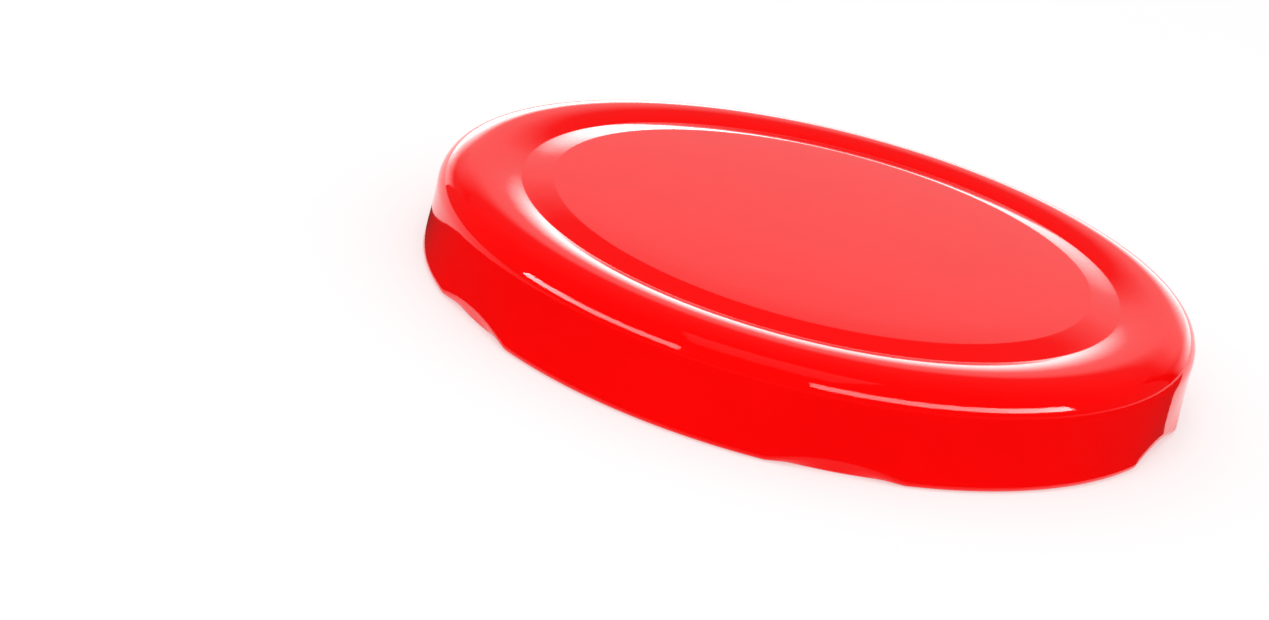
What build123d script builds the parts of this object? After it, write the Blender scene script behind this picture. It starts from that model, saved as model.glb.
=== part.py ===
from build123d import *
from math import asin, atan, cos, degrees, pi, radians, sin, tan
import os

# Screw cap: a pressed lug closure for an 82 mm jar finish and its flowed-in sealing ring.
# Sizes in millimetres, angles in degrees. The open rim rests on z = 0, the axis of the
# cap is Z, the panel faces +Z and one lug is centred on +X.

# Sheet and overall sizes, over the outside
sheet = 0.2
rim_diameter = 84.0
cap_height = 10.4

# Groove and the bevel up to the panel. An inset is measured inwards from the outside of
# the rolled rim.
groove_inset = 9.0
groove_radius = 0.6
bevel_width = 3.35
bevel_angle = 8.0
panel_corner_radius = 1.5

# Raised bead, shoulder and the plain band under it
bead_inset = 4.4
bead_inner_slope = 16.5
bead_outer_slope = 20.0
shoulder_radius = 2.7
band_height = 0.6

# Rolled rim. The skirt flares evenly until the roll stands proud of its top.
curl_diameter = 1.6
curl_proud = 0.3
curl_end_clearance = 0.08

# Lugs
lug_count = 6
lug_half_angle = 9.5
lug_sections = 9
lug_reach = 2.8
lug_skirt_lean = 3.0
lug_brow_radius = 0.7
lug_facet_angle = 24.0
lug_facet_length = 1.35
lug_toe_radius = 0.35
lug_tilt = 8.0
lug_fold_radius = 0.2
lug_fold_turn = 175.0

# Sealing ring
seal_thickness = 1.15
seal_lip_width = 1.9
seal_meniscus_width = 1.5
seal_wall_turn = 38.0

# Sizes that follow from the ones above, on the middle of the sheet
half_sheet = sheet / 2
rim_radius = rim_diameter / 2
curl_radius = curl_diameter / 2 - half_sheet
curl_centre = rim_radius - curl_diameter / 2
skirt_radius = rim_radius - curl_proud - half_sheet
groove_line = rim_radius - groove_inset
panel_radius = groove_line - bevel_width
bead_radius = rim_radius - bead_inset
bead_level = cap_height - half_sheet


# A path in the plane of radius and height is a start point, a heading and moves.
# Heading 0 points outward, 90 down and 180 inward. A move is a length and the turn
# made along it, so it is a straight line or an arc.
def step(point, heading, length, turn):
    half = radians(turn / 2)
    chord = length * sin(half) / half if abs(half) > 1e-9 else length
    way = radians(heading) + half
    return point[0] + chord * cos(way), point[1] - chord * sin(way)


def follow(point, heading, moves):
    for length, turn in moves:
        point, heading = step(point, heading, length, turn), heading + turn
    return point


# Lowest level of a path that starts at level 0.
def lowest(heading, moves):
    point, low = (0, 0), 0
    for length, turn in moves:
        if heading < 180 < heading + turn:
            part = (180 - heading) / turn
            low = min(low, step(point, heading, length * part, turn * part)[1])
        point, heading = step(point, heading, length, turn), heading + turn
        low = min(low, point[1])
    return low


# Edges that run beside a path, at an offset to the outer side of the sheet.
def side_edges(point, heading, moves, offset):
    def beside(at, way):
        return Vector(at[0] + offset * sin(radians(way)), 0, at[1] + offset * cos(radians(way)))

    edges = []
    for length, turn in moves:
        start = beside(point, heading)
        middle = beside(step(point, heading, length / 2, turn / 2), heading + turn / 2)
        point, heading = step(point, heading, length, turn), heading + turn
        end = beside(point, heading)
        if abs(turn) < 0.01:
            edges.append(Edge.make_line(start, end))
        else:
            edges.append(Edge.make_three_point_arc(start, middle, end))
    return edges


# Closed outline of a strip of sheet that follows a path.
def sheet_outline(point, heading, moves):
    outer = side_edges(point, heading, moves, half_sheet)
    inner = side_edges(point, heading, moves, -half_sheet)
    start = Edge.make_line(inner[0] @ 0, outer[0] @ 0)
    end = Edge.make_line(outer[-1] @ 1, inner[-1] @ 1)
    return Wire(outer + [end] + inner + [start])


# Moves of the pressed top, from the axis to the plain band: panel, panel corner, bevel,
# groove, inner and outer halves of the bead, shoulder, band.
def top_moves():
    inner, bevel, outer = radians(bead_inner_slope), radians(bevel_angle), radians(bead_outer_slope)
    panel_tangent = panel_corner_radius * tan(bevel / 2)
    groove_tangent = groove_radius * tan((inner + bevel) / 2)
    bevel_length = bevel_width / cos(bevel)
    inner_width = bead_radius - groove_line - groove_tangent * cos(inner)
    outer_width = skirt_radius - bead_radius - shoulder_radius * (1 - sin(outer))
    return [
        (panel_radius - panel_tangent, 0),
        (panel_corner_radius * bevel, bevel_angle),
        (bevel_length - panel_tangent - groove_tangent, 0),
        (groove_radius * (inner + bevel), -bead_inner_slope - bevel_angle),
        (inner_width / sin(inner) * inner, bead_inner_slope),
        (outer_width / sin(outer) * outer, bead_outer_slope),
        (shoulder_radius * (pi / 2 - outer), 90 - bead_outer_slope),
        (band_height, 0),
    ]


top_path = top_moves()
panel_level = bead_level - follow((0, 0), 0, top_path[:5])[1]
skirt_start = follow((0, panel_level), 0, top_path)
skirt_flare = degrees(2 * atan(curl_proud / (skirt_start[1] - curl_diameter / 2)))


# Moves below the skirt at the middle of a lug: brow, facet, toe, tongue, fold, return.
# The return takes up the length of sheet that the round curl holds.
def lug_moves(developed_length):
    brow_turn = lug_facet_angle - lug_skirt_lean
    toe_turn = 90 + lug_tilt - lug_facet_angle
    moves = [
        (lug_brow_radius * radians(brow_turn), brow_turn),
        (lug_facet_length, 0),
        (lug_toe_radius * radians(toe_turn), toe_turn),
    ]
    heading = 90 + lug_skirt_lean
    skirt_drop = skirt_start[1] + lowest(heading, moves) - half_sheet
    dent = skirt_drop * tan(radians(lug_skirt_lean / 2))
    toe_end = skirt_radius - dent + follow((0, 0), heading, moves)[0]
    tilt = radians(lug_tilt)
    tip = rim_radius - lug_reach + half_sheet + lug_fold_radius * (1 - sin(tilt))
    moves.append(((toe_end - tip) / cos(tilt), 0))
    moves.append((lug_fold_radius * radians(lug_fold_turn), lug_fold_turn))
    used = sum(length for length, turn in moves)
    return moves + [(max(developed_length - used, sheet), 0)]


# Moves below the skirt between the lugs: the roll of the curl, split in the shares of the
# lug's moves that it turns into.
def curl_moves():
    room = skirt_radius - half_sheet - curl_end_clearance - curl_centre
    roll = 270 + skirt_flare + degrees(asin(room / (curl_diameter / 2)))
    roll_length = curl_radius * radians(roll)
    shares = lug_moves(roll_length)
    total = sum(length for length, turn in shares)
    return [(roll_length * length / total, roll * length / total) for length, turn in shares]


curl_path = curl_moves()
lug_path = lug_moves(sum(length for length, turn in curl_path))


# Outline of skirt and rim for a dent from 0, the round curl, to 1, the middle of a lug.
# The skirt is as long as it takes for the outline to rest on the level of the rim.
def rim_outline(dent):
    lean = lug_skirt_lean * dent - skirt_flare * (1 - dent)
    moves = [
        (curl_length + (lug_length - curl_length) * dent, curl_turn + (lug_turn - curl_turn) * dent)
        for (curl_length, curl_turn), (lug_length, lug_turn) in zip(curl_path, lug_path)
    ]
    drop = skirt_start[1] + lowest(90 + lean, moves) - half_sheet
    length = drop * radians(lean) / sin(radians(lean)) if abs(lean) > 0.01 else drop
    return sheet_outline(skirt_start, 90, [(length, lean)] + moves)


def make_top():
    return revolve(Face(sheet_outline((0, panel_level), 0, top_path)), Axis.Z, 360)


def make_lug():
    outlines = []
    for i in range(lug_sections):
        share = 2 * i / (lug_sections - 1) - 1
        dent = 1 - share ** 2
        outlines.append(rim_outline(dent).rotate(Axis.Z, share * lug_half_angle))
    return Solid.make_loft(outlines)


def make_plain_rim():
    start = Face(rim_outline(0)).rotate(Axis.Z, lug_half_angle)
    return revolve(start, Axis.Z, 360 / lug_count - 2 * lug_half_angle)


def make_cap_shell():
    sector = make_lug().solids() + make_plain_rim().solids()
    pitch = 360 / lug_count
    rim = [piece.rotate(Axis.Z, i * pitch) for i in range(lug_count) for piece in sector]
    return make_top().solid().fuse(*rim, tol=1e-4)


# The ring fills the channel under the bead. Its free side is flat where the jar's rim
# lands, rounded towards the panel and hollow towards the wall.
def make_sealing_ring():
    start = follow((0, panel_level), 0, top_path[:4])
    shoulder = (shoulder_radius * radians(seal_wall_turn), seal_wall_turn)
    channel = side_edges(start, -bead_inner_slope, top_path[4:6] + [shoulder], -half_sheet)
    lip, wall = channel[0] @ 0, channel[-1] @ 1
    level = bead_level - half_sheet - seal_thickness
    inner_end = Vector(lip.X + seal_lip_width, 0, level)
    outer_end = Vector(wall.X - seal_meniscus_width, 0, level)
    meniscus = Edge.make_tangent_arc(outer_end, Vector(1, 0, 0), wall)
    flat = Edge.make_line(outer_end, inner_end)
    rounding = Edge.make_tangent_arc(inner_end, Vector(-1, 0, 0), lip)
    return revolve(Face(Wire(channel + [meniscus, flat, rounding])), Axis.Z, 360)


os.makedirs("parts", exist_ok=True)
export_step(make_cap_shell(), "parts/cap_shell.step")
export_step(make_sealing_ring(), "parts/sealing_ring.step")
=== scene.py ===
from math import asin, atan, atan2, cos, hypot, pi, radians, sin, tan

import bmesh
import bpy
from bpy.props import FloatProperty, FloatVectorProperty, IntProperty, PointerProperty
from mathutils import Matrix, Vector


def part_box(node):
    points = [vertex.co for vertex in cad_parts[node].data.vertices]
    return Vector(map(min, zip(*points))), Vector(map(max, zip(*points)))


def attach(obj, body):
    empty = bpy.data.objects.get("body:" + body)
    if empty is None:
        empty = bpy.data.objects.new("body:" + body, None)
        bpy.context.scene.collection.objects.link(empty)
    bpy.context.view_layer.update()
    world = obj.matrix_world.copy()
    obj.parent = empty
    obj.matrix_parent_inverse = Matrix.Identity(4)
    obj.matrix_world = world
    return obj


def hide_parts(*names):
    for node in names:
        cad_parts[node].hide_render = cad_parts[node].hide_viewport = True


bl_info = {
    "name": "Lug Screw Cap",
    "version": (1, 0, 0),
    "blender": (4, 5, 0),
    "location": "View3D > Sidebar > Screw Cap",
    "description": "Pressed lug cap with its sealing ring, on a pale studio floor",
    "category": "Add Mesh",
}

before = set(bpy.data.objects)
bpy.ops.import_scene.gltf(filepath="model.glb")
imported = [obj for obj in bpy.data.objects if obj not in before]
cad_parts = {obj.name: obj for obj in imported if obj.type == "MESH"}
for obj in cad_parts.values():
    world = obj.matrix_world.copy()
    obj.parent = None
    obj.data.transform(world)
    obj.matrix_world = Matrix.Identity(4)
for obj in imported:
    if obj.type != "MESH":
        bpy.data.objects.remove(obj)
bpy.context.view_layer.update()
SHELL_LOW, SHELL_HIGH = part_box("cap_shell")

# A smaller turn counts as straight, closer points are one and a steeper edge is sharp
STRAIGHT = 1e-6
MERGE = 4e-6
SHARP = radians(38)

# Steps round a lug, round the plain rim between two lugs and round the sealing ring
LUG_STEPS, PLAIN_STEPS, RING_STEPS = 26, 46, 360

# Share of the compound's wander that goes up and down
SWELL_SHARE = 0.16


# Sizes and finishes

def length(name, description, default):
    return FloatProperty(
        name=name, description=description, default=default, unit="LENGTH", precision=5)


def angle(name, description, degrees_default):
    return FloatProperty(
        name=name, description=description, default=radians(degrees_default),
        subtype="ANGLE", unit="ROTATION")


def colour(name, description, default):
    return FloatVectorProperty(
        name=name, description=description, default=default,
        subtype="COLOR", min=0.0, max=1.0, size=3)


def brightness(name, description, default):
    return FloatProperty(name=name, description=description, default=default, min=0.0)


class ShellSizes(bpy.types.PropertyGroup):
    """Sizes of the pressed sheet. An inset is measured inwards from the outside of the rolled rim"""

    sheet: length("Sheet", "Thickness of the sheet", 0.0002)
    rim_diameter: length("Rim Diameter", "Over the rolled rim", SHELL_HIGH.y - SHELL_LOW.y)
    height: length("Height", "From the rim to the top of the bead", SHELL_HIGH.z)
    groove_inset: length("Groove Inset", "Where the bevel meets the bead", 0.0090)
    groove_radius: length("Groove Radius", "Bend in the bottom of the groove", 0.0006)
    bevel_width: length("Bevel Width", "Slope from the groove up to the panel", 0.00335)
    bevel_angle: angle("Bevel Angle", "Slope of the bevel", 8.0)
    panel_corner: length("Panel Corner", "Bend at the edge of the panel", 0.0015)
    bead_inset: length("Bead Inset", "Crown of the raised bead", 0.0044)
    bead_inner_slope: angle("Bead Inner Slope", "Steepest slope inside the bead", 16.5)
    bead_outer_slope: angle("Bead Outer Slope", "Slope where the bead meets the shoulder", 20.0)
    shoulder_radius: length("Shoulder Radius", "Bend from the bead into the skirt", 0.0027)
    band_height: length("Band Height", "Plain band under the shoulder", 0.0006)
    curl_diameter: length("Curl Diameter", "Over the rolled edge", 0.0016)
    curl_proud: length("Curl Proud", "How far the skirt flares out down to the curl", 0.0003)
    curl_clearance: length("Curl Clearance", "From the end of the roll to the skirt", 0.00008)


class LugSizes(bpy.types.PropertyGroup):
    """Sizes of the lugs, pressed inwards out of the rolled rim"""

    count: IntProperty(name="Lugs", description="Lugs round the rim", default=6, min=3, max=8)
    half_angle: angle("Half Angle", "From the middle of a lug to the plain rim", 9.5)
    reach: length("Reach", "How far a lug reaches in from the outside of the rim", 0.0028)
    lean: angle("Skirt Lean", "Lean of the skirt above a lug", 3.0)
    brow: length("Brow Radius", "Bend from the skirt into the facet", 0.0007)
    facet_angle: angle("Facet Angle", "Slope of the pressed facet", 24.0)
    facet: length("Facet Length", "Straight part of the facet", 0.00135)
    toe: length("Toe Radius", "Bend at the lowest line of the lug", 0.00035)
    tilt: angle("Tilt", "Rise of the lug towards its tip", 8.0)
    fold: length("Fold Radius", "Fold at the tip of the lug", 0.0002)
    fold_turn: angle("Fold Turn", "How far the sheet turns back at the tip", 175.0)


class SealSizes(bpy.types.PropertyGroup):
    """Sizes of the sealing compound that is flowed into the channel under the bead"""

    thickness: length("Thickness", "Under the crown of the bead", 0.00115)
    lip: length("Lip Width", "Rounded edge towards the panel", 0.0019)
    meniscus: length("Meniscus Width", "Hollow edge towards the wall", 0.0015)
    wall_turn: angle("Wall Turn", "How far the compound climbs the shoulder", 38.0)
    wander: length("Wander", "How far the flowed edges stray from a true circle", 0.00009)


class Finishes(bpy.types.PropertyGroup):
    """Colours of the lacquers, the sheet and the compound"""

    lacquer: colour("Lacquer", "Gloss enamel outside", (0.98, 0.002, 0.002))
    lining: colour("Lining", "Lacquer inside", (0.74, 0.56, 0.31))
    steel: colour("Steel", "Cut edge of the sheet", (0.62, 0.61, 0.59))
    compound: colour("Compound", "Sealing compound", (0.80, 0.72, 0.55))


class StageLight(bpy.types.PropertyGroup):
    """Floor, light and camera"""

    floor: colour("Floor", "Colour of the floor", (0.45, 0.45, 0.45))
    floor_glow: brightness("Floor Glow", "Light that the floor gives off by itself", 0.52)
    surround: brightness("Surround", "Light from all round", 1.08)
    overhead: brightness("Overhead", "Power of the lamp overhead", 2.0)
    room: brightness("Room", "Strength of the dim tent", 0.10)
    felt: brightness("Felt", "Strength of the dark felt", 0.03)
    strips: brightness("Strips", "Strength of the two bright strips", 60.0)
    lens: FloatProperty(
        name="Lens", description="Focal length", default=72.34,
        min=10.0, max=300.0, subtype="DISTANCE_CAMERA")


# Paths of the sheet

# The middle of the sheet is a path in the plane of radius and height: a start point, a
# heading and moves. Heading 0 points outwards, a quarter turn points down. A move is a
# length, the turn made along it, and how many faces it gets.
def step(point, heading, run, turn):
    half = turn / 2
    chord = run * sin(half) / half if abs(half) > STRAIGHT else run
    return point[0] + chord * cos(heading + half), point[1] - chord * sin(heading + half)


def along(point, heading, moves):
    """All points of a path, one for each face edge."""
    points = [point]
    for run, turn, faces in moves:
        for i in range(1, faces + 1):
            points.append(step(point, heading, run * i / faces, turn * i / faces))
        point, heading = points[-1], heading + turn
    return points


def lowest(heading, moves):
    """Lowest level of a path that starts at level 0."""
    point, low = (0, 0), 0
    for run, turn, faces in moves:
        if heading < pi < heading + turn:
            part = (pi - heading) / turn
            low = min(low, step(point, heading, run * part, turn * part)[1])
        point, heading = step(point, heading, run, turn), heading + turn
        low = min(low, point[1])
    return low


def mix(first, second, share):
    return first + (second - first) * share


class Sheet:
    """Paths of the sheet that follow from the sizes."""

    def __init__(self, cap, lug):
        self.cap, self.lug = cap, lug
        self.half = cap.sheet / 2
        self.rim = cap.rim_diameter / 2
        self.skirt = self.rim - cap.curl_proud - self.half
        self.top = self.top_moves()
        panel_drop = along((0, 0), 0, self.top[:5])[-1][1]
        self.panel = (0, cap.height - self.half - panel_drop)
        self.skirt_top = along(self.panel, 0, self.top)[-1]
        self.flare = 2 * atan(cap.curl_proud / (self.skirt_top[1] - cap.curl_diameter / 2))
        self.curl = self.curl_moves()
        self.middle = self.lug_moves(sum(run for run, turn, faces in self.curl))

    def top_moves(self):
        """Panel, panel corner, bevel, groove, inner and outer bead, shoulder, band."""
        cap = self.cap
        inner, bevel, outer = cap.bead_inner_slope, cap.bevel_angle, cap.bead_outer_slope
        groove = self.rim - cap.groove_inset
        bead = self.rim - cap.bead_inset
        corner_part = cap.panel_corner * tan(bevel / 2)
        groove_part = cap.groove_radius * tan((inner + bevel) / 2)
        inner_width = bead - groove - groove_part * cos(inner)
        outer_width = self.skirt - bead - cap.shoulder_radius * (1 - sin(outer))
        return [
            (groove - cap.bevel_width - corner_part, 0, 6),
            (cap.panel_corner * bevel, bevel, 3),
            (cap.bevel_width / cos(bevel) - corner_part - groove_part, 0, 3),
            (cap.groove_radius * (inner + bevel), -inner - bevel, 5),
            (inner_width / sin(inner) * inner, inner, 7),
            (outer_width / sin(outer) * outer, outer, 6),
            (cap.shoulder_radius * (pi / 2 - outer), pi / 2 - outer, 12),
            (cap.band_height, 0, 1),
        ]

    def lug_moves(self, developed):
        """Brow, facet, toe, tongue, fold and return at the middle of a lug."""
        lug = self.lug
        brow_turn = lug.facet_angle - lug.lean
        toe_turn = pi / 2 + lug.tilt - lug.facet_angle
        moves = [
            (lug.brow * brow_turn, brow_turn, 4),
            (lug.facet, 0, 8),
            (lug.toe * toe_turn, toe_turn, 6),
        ]
        heading = pi / 2 + lug.lean
        drop = self.skirt_top[1] + lowest(heading, moves) - self.half
        toe_end = self.skirt - drop * tan(lug.lean / 2) + along((0, 0), heading, moves)[-1][0]
        tip = self.rim - lug.reach + self.half + lug.fold * (1 - sin(lug.tilt))
        moves += [
            ((toe_end - tip) / cos(lug.tilt), 0, 5),
            (lug.fold * lug.fold_turn, lug.fold_turn, 9),
        ]
        used = sum(run for run, turn, faces in moves)
        return moves + [(max(developed - used, self.cap.sheet), 0, 5)]

    def curl_moves(self):
        """Roll of the plain rim, split in the shares of the lug's moves."""
        cap = self.cap
        room = self.skirt - self.half - cap.curl_clearance - self.rim + cap.curl_diameter / 2
        roll = 1.5 * pi + self.flare + asin(room / (cap.curl_diameter / 2))
        roll_run = (cap.curl_diameter / 2 - self.half) * roll
        shares = self.lug_moves(roll_run)
        total = sum(run for run, turn, faces in shares)
        return [(roll_run * run / total, roll * run / total, faces) for run, turn, faces in shares]

    def rim_moves(self, dent):
        """Skirt and rim for a dent from 0, the round curl, to 1, the middle of a lug."""
        lean = self.lug.lean * dent - self.flare * (1 - dent)
        moves = [
            (mix(curl_run, lug_run, dent), mix(curl_turn, lug_turn, dent), faces)
            for (curl_run, curl_turn, faces), (lug_run, lug_turn, _) in zip(self.curl, self.middle)
        ]
        drop = self.skirt_top[1] + lowest(pi / 2 + lean, moves) - self.half
        skirt = drop * lean / sin(lean) if abs(lean) > STRAIGHT else drop
        return [(skirt, lean, 6)] + moves

    def dent(self, direction):
        """How far the rim is pressed in at a direction round the axis."""
        pitch = 2 * pi / self.lug.count
        share = ((direction + pitch / 2) % pitch - pitch / 2) / self.lug.half_angle
        return max(0.0, 1 - share ** 2)


def chord_between(point, target):
    """Length and heading of the straight line between two points."""
    across, down = target[0] - point[0], point[1] - target[1]
    return hypot(across, down), atan2(down, across)


def arc_over(chord, off, faces):
    """Move of an arc whose heading at either end is off its chord's by an angle."""
    half = (off + pi) % (2 * pi) - pi
    return chord * half / sin(half), 2 * half, faces


def arc_into(point, target, end_heading, faces):
    """Heading and move of an arc from point that arrives at target along end_heading."""
    chord, way = chord_between(point, target)
    move = arc_over(chord, end_heading - way, faces)
    return end_heading - move[1], move


def arc_from(point, target, heading, faces):
    """Move of an arc that leaves point along heading and ends at target."""
    chord, way = chord_between(point, target)
    return arc_over(chord, way - heading, faces)


def waves(direction, *parts):
    """Sum of waves round the axis, each with a size, a count and a phase."""
    return sum(size * sin(count * direction + phase) for size, count, phase in parts)


# Mesh work

def draw_path(bm, tip, heading, moves):
    """Draws a path from the vertex tip: straights are extruded, bends are spun. Returns its end."""
    for run, turn, faces in moves:
        if abs(turn) < STRAIGHT:
            stride = Vector((cos(heading), 0, -sin(heading))) * run / faces
            for _ in range(faces):
                tip = bmesh.ops.extrude_vert_indiv(bm, verts=[tip])["verts"][0]
                bmesh.ops.translate(bm, verts=[tip], vec=stride)
        else:
            centre = tip.co + Vector((-sin(heading), 0, -cos(heading))) * run / turn
            spun = bmesh.ops.spin(
                bm, geom=[tip], cent=centre, axis=(0, 1, 0), angle=turn, steps=faces)
            tip = next(v for v in spun["geom_last"] if isinstance(v, bmesh.types.BMVert))
        heading += turn
    return tip


def number_line(bm):
    """Writes each point's place along the drawn line on the point itself."""
    place = bm.verts.layers.int.new("place")
    for i, v in enumerate(bm.verts):
        v[place] = i
    return place


def turn_line(bm, sweeps):
    """Spins the drawn line round the axis into a closed skin. A sweep is an angle and its steps."""
    geom = bm.verts[:] + bm.edges[:]
    for sweep, steps in sweeps:
        spun = bmesh.ops.spin(
            bm, geom=geom, cent=(0, 0, 0), axis=(0, 0, 1), angle=sweep, steps=steps,
            use_merge=len(sweeps) == 1)
        geom = spun["geom_last"]
    bmesh.ops.remove_doubles(bm, verts=bm.verts[:], dist=MERGE)
    bmesh.ops.recalc_face_normals(bm, faces=bm.faces[:])


def face_up(bm):
    """Turns an open skin round if its top faces down."""
    if max(bm.faces, key=lambda f: f.calc_center_median().z).normal.z < 0:
        bmesh.ops.reverse_faces(bm, faces=bm.faces[:])


def keep_order(bm):
    """Orders edges and faces by their points, because merging leaves them in a chance order."""
    bm.verts.index_update()
    for items in (bm.edges, bm.faces):
        ordered = sorted(items, key=lambda item: sorted(v.index for v in item.verts))
        for i, item in enumerate(ordered):
            item.index = i
        items.sort()


def make_piece(name, bm, materials):
    """A smooth object at the origin, made of the drawn mesh."""
    keep_order(bm)
    mesh = bpy.data.meshes.new(name)
    bm.to_mesh(mesh)
    bm.free()
    for material in materials:
        mesh.materials.append(material)
    mesh.polygons.foreach_set("use_smooth", [True] * len(mesh.polygons))
    piece = bpy.data.objects.new(name, mesh)
    bpy.context.scene.collection.objects.link(piece)
    return piece


def finish_mesh(piece):
    """Applies the piece's modifiers and marks its sharp edges."""
    graph = bpy.context.evaluated_depsgraph_get()
    mesh = bpy.data.meshes.new_from_object(piece.evaluated_get(graph))
    piece.modifiers.clear()
    piece.data = mesh
    mesh.set_sharp_from_angle(angle=SHARP)


# Material nodes

class Nodes:
    """A short way to write a node tree."""

    def __init__(self, tree):
        self.tree = tree
        tree.nodes.clear()

    def add(self, kind, label="", **sets):
        made = self.tree.nodes.new(kind)
        made.label = label
        for name, value in sets.items():
            setattr(made, name, value)
        return made

    def feed(self, node, values):
        """Joins inputs of a node to other sockets, or sets them to numbers, vectors and colours."""
        for name, value in values.items():
            socket = node.inputs[name]
            if isinstance(value, bpy.types.NodeSocket):
                self.tree.links.new(value, socket)
            elif socket.type == "RGBA":
                socket.default_value = (*value, 1.0)
            else:
                socket.default_value = value

    def noise(self, vector, scale, detail=2.0, rough=0.5, label=""):
        made = self.add("ShaderNodeTexNoise", label)
        self.feed(made, {"Vector": vector, "Scale": scale, "Detail": detail, "Roughness": rough})
        return made.outputs["Fac"]

    def remap(self, value, low, high, to_low, to_high, label=""):
        made = self.add("ShaderNodeMapRange", label)
        self.feed(made, {
            "Value": value, "From Min": low, "From Max": high, "To Min": to_low, "To Max": to_high})
        return made.outputs["Result"]

    def spread(self, noise, to_low=0.0, to_high=1.0, label=""):
        """Spreads the middle of a noise, where most of it lies, over a range."""
        return self.remap(noise, 0.3, 0.7, to_low, to_high, label)

    def maths(self, operation, first, second):
        made = self.add("ShaderNodeMath", operation=operation)
        self.feed(made, {0: first, 1: second})
        return made.outputs[0]

    def blend(self, amount, first, second, label=""):
        made = self.add("ShaderNodeMix", label, data_type="RGBA")
        one, other = (i for i, socket in enumerate(made.inputs) if socket.type == "RGBA")
        self.feed(made, {"Factor": amount, one: first, other: second})
        return next(socket for socket in made.outputs if socket.type == "RGBA")

    def bump(self, height, strength, depth, normal=None):
        made = self.add("ShaderNodeBump")
        self.feed(made, {"Height": height, "Strength": strength, "Distance": depth})
        if normal is not None:
            self.feed(made, {"Normal": normal})
        return made.outputs["Normal"]

    def place(self, scale=(1, 1, 1), turn=(0, 0, 0)):
        """Object coordinates through a Mapping node."""
        coordinates = self.add("ShaderNodeTexCoord")
        mapping = self.add("ShaderNodeMapping")
        self.feed(mapping, {
            "Vector": coordinates.outputs["Object"], "Scale": scale, "Rotation": turn})
        return mapping.outputs["Vector"]

    def surface(self, **values):
        shader = self.add("ShaderNodeBsdfPrincipled")
        output = self.add("ShaderNodeOutputMaterial")
        self.feed(shader, {name.replace("_", " "): value for name, value in values.items()})
        self.feed(output, {"Surface": shader.outputs["BSDF"]})


def new_material(name):
    material = bpy.data.materials.new(name)
    material.use_nodes = True
    return material, Nodes(material.node_tree)


def shade(colour_value, amount):
    return tuple(min(1.0, c * amount) for c in colour_value)


def gloss_lacquer(finish):
    """Opaque enamel under clear varnish: faint orange peel, slow changes of film and sheen."""
    material, n = new_material("gloss_lacquer")
    here = n.place()
    film = n.spread(n.noise(here, 90, 3, 0.6), label="film thickness")
    tone = n.blend(film, shade(finish.lacquer, 0.965), tuple(finish.lacquer), "enamel")
    peel = n.noise(here, 1400, 1.0, 0.4, "orange peel")
    flow = n.noise(here, 260, 1.0, 0.4, "flow")
    smear = n.remap(n.noise(here, 480, 4, 0.7), 0.35, 0.75, 0.045, 0.085, "sheen")
    normal = n.bump(peel, 0.10, 0.00002, n.bump(flow, 0.12, 0.00006))
    n.surface(
        Base_Color=tone, Roughness=smear, Normal=normal, IOR=1.38,
        Specular_Tint=(1.0, 0.12, 0.12))
    return material


def lining_lacquer(finish):
    """Thin cream lacquer over tinplate: the grain of the rolled sheet shows through it."""
    material, n = new_material("lining_lacquer")
    here = n.place()
    along_grain = n.place((260, 9000, 260), (0, 0, radians(24)))
    grain = n.noise(along_grain, 1.0, 4, 0.65, "rolling grain")
    cloud = n.noise(here, 120, 3, 0.6, "lacquer film")
    base = n.blend(n.spread(cloud), shade(finish.lining, 0.93), shade(finish.lining, 1.04))
    shows = n.remap(grain, 0.45, 0.75, 0.0, 0.22)
    tone = n.blend(shows, base, shade(finish.lining, 0.72), "grain shows")
    sheen = n.spread(n.noise(here, 600, 3, 0.6), 0.16, 0.24, "sheen")
    normal = n.bump(grain, 0.06, 0.00001, n.bump(cloud, 0.10, 0.00008))
    n.surface(Base_Color=tone, Roughness=sheen, Normal=normal, IOR=1.48)
    return material


def cut_steel(finish):
    """Sheared edge of tinplate: bright, with stretched torn streaks that are darker in places."""
    material, n = new_material("cut_steel")
    here = n.place()
    tear = n.noise(n.place((1, 1, 0.2)), 9000, 4, 0.7, "tear")
    tone = n.blend(n.spread(tear), shade(finish.steel, 0.7), tuple(finish.steel))
    rough = n.spread(n.noise(here, 3000, 2), 0.28, 0.5, "rough")
    n.surface(Base_Color=tone, Roughness=rough, Normal=n.bump(tear, 0.4, 0.00003), Metallic=1.0)
    return material


def seal_compound(finish):
    """Cured plastisol: soft sheen, slow flow marks and a few pin holes."""
    material, n = new_material("seal_compound")
    here = n.place()
    flow = n.noise(here, 180, 2, 0.5, "flow")
    speck = n.noise(here, 2600, 3, 0.7, "filler")
    base = n.blend(n.spread(flow), shade(finish.compound, 0.95), shade(finish.compound, 1.03))
    shows = n.remap(speck, 0.62, 0.8, 0.0, 0.35)
    tone = n.blend(shows, base, shade(finish.compound, 0.8), "specks")
    holes = n.add("ShaderNodeTexVoronoi", "pin holes")
    n.feed(holes, {"Vector": here, "Scale": 520})
    pits = n.remap(holes.outputs["Distance"], 0.0, 0.10, 0.0, 1.0, "pits")
    normal = n.bump(pits, 0.5, 0.00005, n.bump(flow, 0.25, 0.0002))
    rough = n.spread(speck, 0.26, 0.38, "sheen")
    n.surface(Base_Color=tone, Roughness=rough, Normal=normal, IOR=1.5)
    return material


# Pieces

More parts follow.
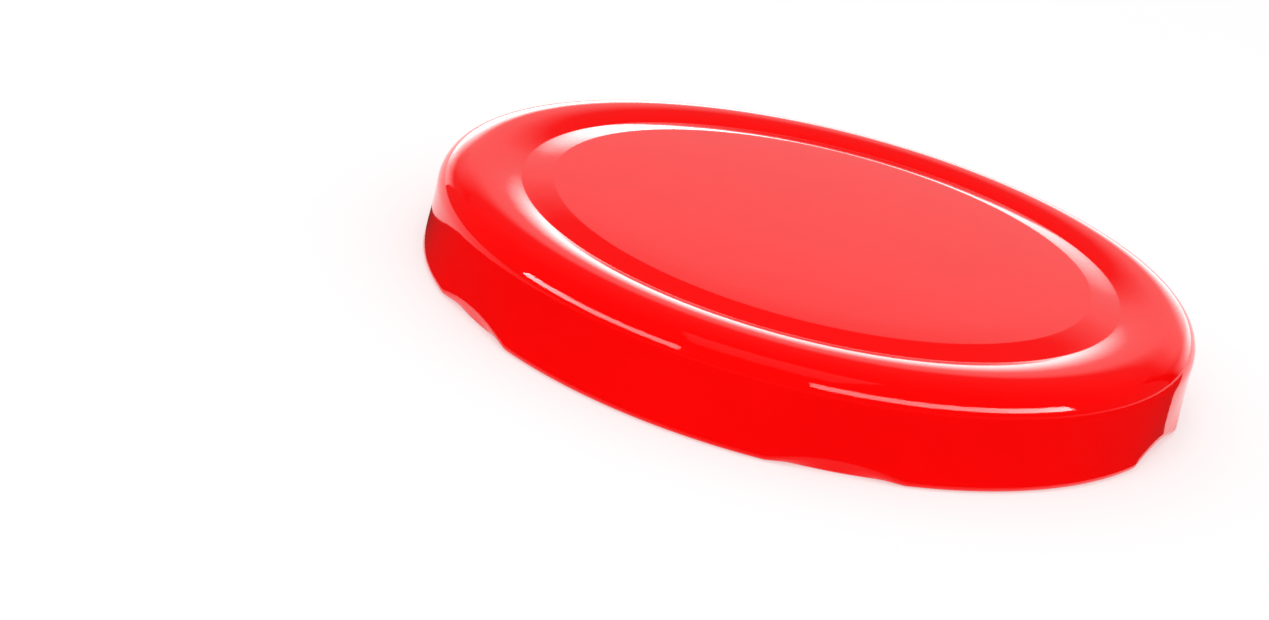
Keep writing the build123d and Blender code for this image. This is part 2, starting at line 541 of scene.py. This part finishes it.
class SCREWCAP_OT_shell(bpy.types.Operator):
    """Press the cap's shell out of one sheet: top, skirt, rolled rim and lugs"""

    bl_idname = "screwcap.shell"
    bl_label = "Shell"

    def execute(self, context):
        scene = context.scene
        cap, lug, finish = scene.cap_shell_sizes, scene.cap_lug_sizes, scene.cap_finishes
        sheet = Sheet(cap, lug)
        bm = bmesh.new()
        start = bm.verts.new((sheet.panel[0], 0, sheet.panel[1]))
        skirt_top = draw_path(bm, start, 0, sheet.top)
        draw_path(bm, skirt_top, pi / 2, sheet.rim_moves(0))
        first_rim = sum(faces for run, turn, faces in sheet.top)
        place = number_line(bm)
        turn = Matrix.Rotation(-lug.half_angle, 3, "Z")
        bmesh.ops.rotate(bm, verts=bm.verts[:], cent=(0, 0, 0), matrix=turn)
        plain = 2 * pi / lug.count - 2 * lug.half_angle
        turn_line(bm, [(2 * lug.half_angle, LUG_STEPS), (plain, PLAIN_STEPS)] * lug.count)
        face_up(bm)
        self.press_lugs(bm, sheet, place, first_rim)
        materials = [gloss_lacquer(finish), lining_lacquer(finish), cut_steel(finish)]
        piece = make_piece("pressed_sheet", bm, materials)
        wall = piece.modifiers.new("sheet", "SOLIDIFY")
        wall.thickness, wall.offset = cap.sheet, 0.0
        wall.use_rim, wall.material_offset, wall.material_offset_rim = True, 1, 2
        finish_mesh(piece)
        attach(piece, "root")
        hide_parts("cap_shell")
        return {"FINISHED"}

    def press_lugs(self, bm, sheet, place, first_rim):
        """Moves the rim's points to the outline that the rim has in their direction."""
        outlines = {}
        for v in bm.verts:
            direction = atan2(v.co.y, v.co.x)
            dent = round(sheet.dent(direction), 9)
            if v[place] <= first_rim or dent == 0:
                continue
            if dent not in outlines:
                outlines[dent] = along(sheet.skirt_top, pi / 2, sheet.rim_moves(dent))
            radius, level = outlines[dent][v[place] - first_rim]
            v.co = radius * cos(direction), radius * sin(direction), level


class SCREWCAP_OT_seal(bpy.types.Operator):
    """Flow the sealing ring into the channel under the bead"""

    bl_idname = "screwcap.seal"
    bl_label = "Sealing Ring"

    def execute(self, context):
        scene = context.scene
        seal, sheet = scene.cap_seal_sizes, Sheet(scene.cap_shell_sizes, scene.cap_lug_sizes)
        bm = bmesh.new()
        free_side = self.draw_section(bm, seal, sheet)
        place = number_line(bm)
        turn_line(bm, [(2 * pi, RING_STEPS)])
        self.let_flow(bm, seal, place, free_side)
        piece = make_piece("flowed_compound", bm, [seal_compound(scene.cap_finishes)])
        finish_mesh(piece)
        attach(piece, "root")
        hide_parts("sealing_ring")
        return {"FINISHED"}

    def draw_section(self, bm, seal, sheet):
        """Channel side, then meniscus, flat and lip. Returns the first place of the free side."""
        cap, below = sheet.cap, -sheet.half
        shoulder = (cap.shoulder_radius * seal.wall_turn, seal.wall_turn, 5)
        channel = sheet.top[4:6] + [shoulder]
        moves = [(run + below * turn, turn, faces) for run, turn, faces in channel]
        heading = -cap.bead_inner_slope
        middle = along(sheet.panel, 0, sheet.top[:4])[-1]
        lip = middle[0] + below * sin(heading), middle[1] + below * cos(heading)
        start = bm.verts.new((lip[0], 0, lip[1]))
        wall = draw_path(bm, start, heading, moves)
        free_side = len(bm.verts)
        flat_start = wall.co.x - seal.meniscus
        level = cap.height - cap.sheet - seal.thickness
        heading, meniscus = arc_into((wall.co.x, wall.co.z), (flat_start, level), pi, 7)
        flat = (flat_start - lip[0] - seal.lip, 0, 4)
        end = draw_path(bm, wall, heading, [meniscus, flat])
        end = draw_path(bm, end, pi, [arc_from((end.co.x, end.co.z), lip, pi, 9)])
        bmesh.ops.pointmerge(bm, verts=[end, start], merge_co=start.co)
        return free_side

    def let_flow(self, bm, seal, place, free_side):
        """Lets the free side wander a little, as compound does that was spun in while liquid."""
        last = max(v[place] for v in bm.verts)
        for v in bm.verts:
            if v[place] < free_side:
                continue
            direction, radius = atan2(v.co.y, v.co.x), hypot(v.co.x, v.co.y)
            share = (v[place] - free_side + 1) / (last - free_side + 2)
            hold = sin(pi * share)
            drift = waves(direction, (1.0, 3, 0.7), (0.6, 7, 2.1), (0.35, 17, 4.0))
            swell = waves(direction, (1.0, 5, 1.3), (0.5, 13, 3.2))
            radius += seal.wander * drift * hold
            level = v.co.z + seal.wander * SWELL_SHARE * swell * hold
            v.co = radius * cos(direction), radius * sin(direction), level


# Stage

FLOOR_RADIUS = 4.0
TENT_RADIUS = 3.5
CARD_RADIUS, CARD_HEIGHT = 1.2, 0.60
FELT_LEVEL = 0.0003
STRIP_RADIUS = 0.055
DEGREES_A_STEP = 3


def glowing_material(name, strength):
    """A light source. Strength is a number, or a function that writes nodes and returns a socket."""
    material, n = new_material(name)
    glow, output = n.add("ShaderNodeEmission"), n.add("ShaderNodeOutputMaterial")
    n.feed(glow, {"Strength": strength(n) if callable(strength) else strength})
    n.feed(output, {"Surface": glow.outputs[0]})
    return material


def stand_for_gloss(piece):
    """A card of which only the gloss takes notice."""
    piece.visible_camera = piece.visible_diffuse = False
    piece.visible_transmission = piece.visible_shadow = False


def card_round_axis(name, material, sweep, foot, head):
    """A card bent round the axis. Foot and head of its first edge are an angle in degrees, from the
    front towards the right, a radius and a level."""
    bm = bmesh.new()
    ends = [
        bm.verts.new((radius * sin(radians(turn)), -radius * cos(radians(turn)), level))
        for turn, radius, level in (foot, head)
    ]
    bmesh.ops.spin(
        bm, geom=ends + [bm.edges.new(ends)], cent=(0, 0, 0), axis=(0, 0, 1),
        angle=radians(sweep), steps=sweep // DEGREES_A_STEP)
    stand_for_gloss(make_piece(name, bm, [material]))


class SCREWCAP_OT_stage(bpy.types.Operator):
    """Set the pale floor, the soft light and the camera"""

    bl_idname = "screwcap.stage"
    bl_label = "Stage"

    def execute(self, context):
        light = context.scene.cap_stage_light
        self.lay_floor(light)
        self.light_surround(context.scene, light)
        self.stand_cards(light)
        self.hang_lamp(context.scene, light)
        self.set_camera(context.scene, light)
        context.scene.view_settings.view_transform = "Standard"
        return {"FINISHED"}

    def lay_floor(self, light):
        """A faintly glowing table top that is clear from below, so that the underside can be seen."""
        bm = bmesh.new()
        bmesh.ops.create_circle(bm, cap_ends=True, segments=96, radius=FLOOR_RADIUS)
        material, n = new_material("pale_floor")
        back = n.add("ShaderNodeNewGeometry")
        diffuse, glow = n.add("ShaderNodeBsdfDiffuse"), n.add("ShaderNodeEmission")
        both, clear = n.add("ShaderNodeAddShader"), n.add("ShaderNodeBsdfTransparent")
        side, output = n.add("ShaderNodeMixShader"), n.add("ShaderNodeOutputMaterial")
        n.feed(diffuse, {"Color": light.floor})
        n.feed(glow, {"Strength": light.floor_glow})
        n.feed(both, {0: diffuse.outputs[0], 1: glow.outputs[0]})
        n.feed(side, {0: back.outputs["Backfacing"], 1: both.outputs[0], 2: clear.outputs[0]})
        n.feed(output, {"Surface": side.outputs[0]})
        make_piece("floor", bm, [material])

    def light_surround(self, scene, light):
        """An even white light from all round."""
        world = bpy.data.worlds.new("white_surround")
        world.use_nodes = True
        n = Nodes(world.node_tree)
        background, output = n.add("ShaderNodeBackground"), n.add("ShaderNodeOutputWorld")
        n.feed(background, {"Strength": light.surround})
        n.feed(output, {"Surface": background.outputs[0]})
        scene.world = world

    def stand_cards(self, light):
        """What the gloss mirrors: a dim tent, a white card behind the cap, a dark felt on the floor
        in front of it and two bright strips close to its shoulder."""
        bm = bmesh.new()
        bmesh.ops.create_uvsphere(bm, u_segments=48, v_segments=24, radius=TENT_RADIUS)
        bmesh.ops.bisect_plane(
            bm, geom=bm.verts[:] + bm.edges[:] + bm.faces[:], plane_co=(0, 0, 0),
            plane_no=(0, 0, 1), clear_inner=True)
        stand_for_gloss(make_piece("tent", bm, [glowing_material("dim_cloth", light.room)]))
        white = glowing_material("card_light", lambda n: self.card_light(n, light))
        felt = glowing_material("dark_felt", light.felt)
        strip = glowing_material("strip_light", light.strips)
        card_round_axis(
            "white_card", white, 92, (150, CARD_RADIUS, 0.0), (150, CARD_RADIUS, CARD_HEIGHT))
        card_round_axis("felt", felt, 175, (-78, 0.0425, FELT_LEVEL), (-28, 0.15, FELT_LEVEL))
        card_round_axis(
            "strip_left", strip, 35, (-33, STRIP_RADIUS, 0.0113), (-33, STRIP_RADIUS, 0.0157))
        card_round_axis(
            "strip_right", strip, 51, (25, STRIP_RADIUS, 0.0130), (25, STRIP_RADIUS, 0.0183))

    def card_light(self, n, light):
        """Brightest low down, and fading towards the card's ends."""
        axes = n.add("ShaderNodeSeparateXYZ")
        n.feed(axes, {0: n.place()})
        low = n.remap(axes.outputs["Z"], 0.12, 0.32, 2.4, 0.0, "low part")
        bright = n.remap(axes.outputs["X"], -0.62, -0.43, 2.5, 1.0, "brighter to the left")
        high = n.remap(axes.outputs["Z"], 0.43, CARD_HEIGHT, 0.62, light.room, "high part")
        left = n.remap(axes.outputs["X"], -0.95, -0.72, 0.25, 1.0, "left end")
        right = n.remap(axes.outputs["X"], 0.10, 0.50, 1.0, 0.0, "right end")
        glow = n.maths("ADD", n.maths("MULTIPLY", low, bright), high)
        return n.maths("MULTIPLY", glow, n.maths("MULTIPLY", left, right))

    def hang_lamp(self, scene, light):
        """One soft lamp from above, for form."""
        lamp = bpy.data.lights.new("overhead", "AREA")
        lamp.shape, lamp.size, lamp.energy = "SQUARE", 0.5, light.overhead
        holder = bpy.data.objects.new("overhead", lamp)
        holder.location = 0.05, -0.25, 0.80
        holder.rotation_euler = (-holder.location).to_track_quat("-Z", "Y").to_euler()
        holder.visible_camera = False
        scene.collection.objects.link(holder)

    def set_camera(self, scene, light):
        """Place and turn come from a camera that was fitted to the photo's edges."""
        lens = bpy.data.cameras.new("camera")
        lens.sensor_width, lens.lens = 36.0, light.lens
        lens.clip_start, lens.clip_end = 0.01, 20.0
        camera = bpy.data.objects.new("camera", lens)
        right = Vector((0.85520441, 0.47418797, 0.20921563))
        up = Vector((-0.34718898, 0.22441919, 0.91054700))
        turn = Matrix((right, up, right.cross(up))).transposed().to_4x4()
        camera.matrix_world = Matrix.Translation((0.09168564, -0.24609391, 0.09604765)) @ turn
        scene.collection.objects.link(camera)
        scene.camera = camera


# Panel and registration

OPERATORS = (SCREWCAP_OT_shell, SCREWCAP_OT_seal, SCREWCAP_OT_stage)
GROUPS = (
    ("cap_shell_sizes", "Shell", ShellSizes),
    ("cap_lug_sizes", "Lugs", LugSizes),
    ("cap_seal_sizes", "Sealing Ring", SealSizes),
    ("cap_finishes", "Finishes", Finishes),
    ("cap_stage_light", "Stage", StageLight),
)


class SCREWCAP_PT_tools(bpy.types.Panel):
    """Sizes, finishes and the steps that make the cap"""

    bl_label = "Screw Cap"
    bl_idname = "SCREWCAP_PT_tools"
    bl_space_type = "VIEW_3D"
    bl_region_type = "UI"
    bl_category = "Screw Cap"

    def draw(self, context):
        layout = self.layout
        for operator in OPERATORS:
            layout.operator(operator.bl_idname)
        for name, title, kind in GROUPS:
            box = layout.box()
            box.label(text=title)
            group = getattr(context.scene, name)
            for key in kind.__annotations__:
                box.prop(group, key)


CLASSES = tuple(kind for name, title, kind in GROUPS) + OPERATORS + (SCREWCAP_PT_tools,)


def register():
    for cls in CLASSES:
        bpy.utils.register_class(cls)
    for name, title, kind in GROUPS:
        setattr(bpy.types.Scene, name, PointerProperty(type=kind))


def unregister():
    for name, title, kind in GROUPS:
        delattr(bpy.types.Scene, name)
    for cls in reversed(CLASSES):
        bpy.utils.unregister_class(cls)


def main():
    register()
    bpy.ops.screwcap.shell()
    bpy.ops.screwcap.seal()
    bpy.ops.screwcap.stage()


if __name__ == "__main__":
    main()
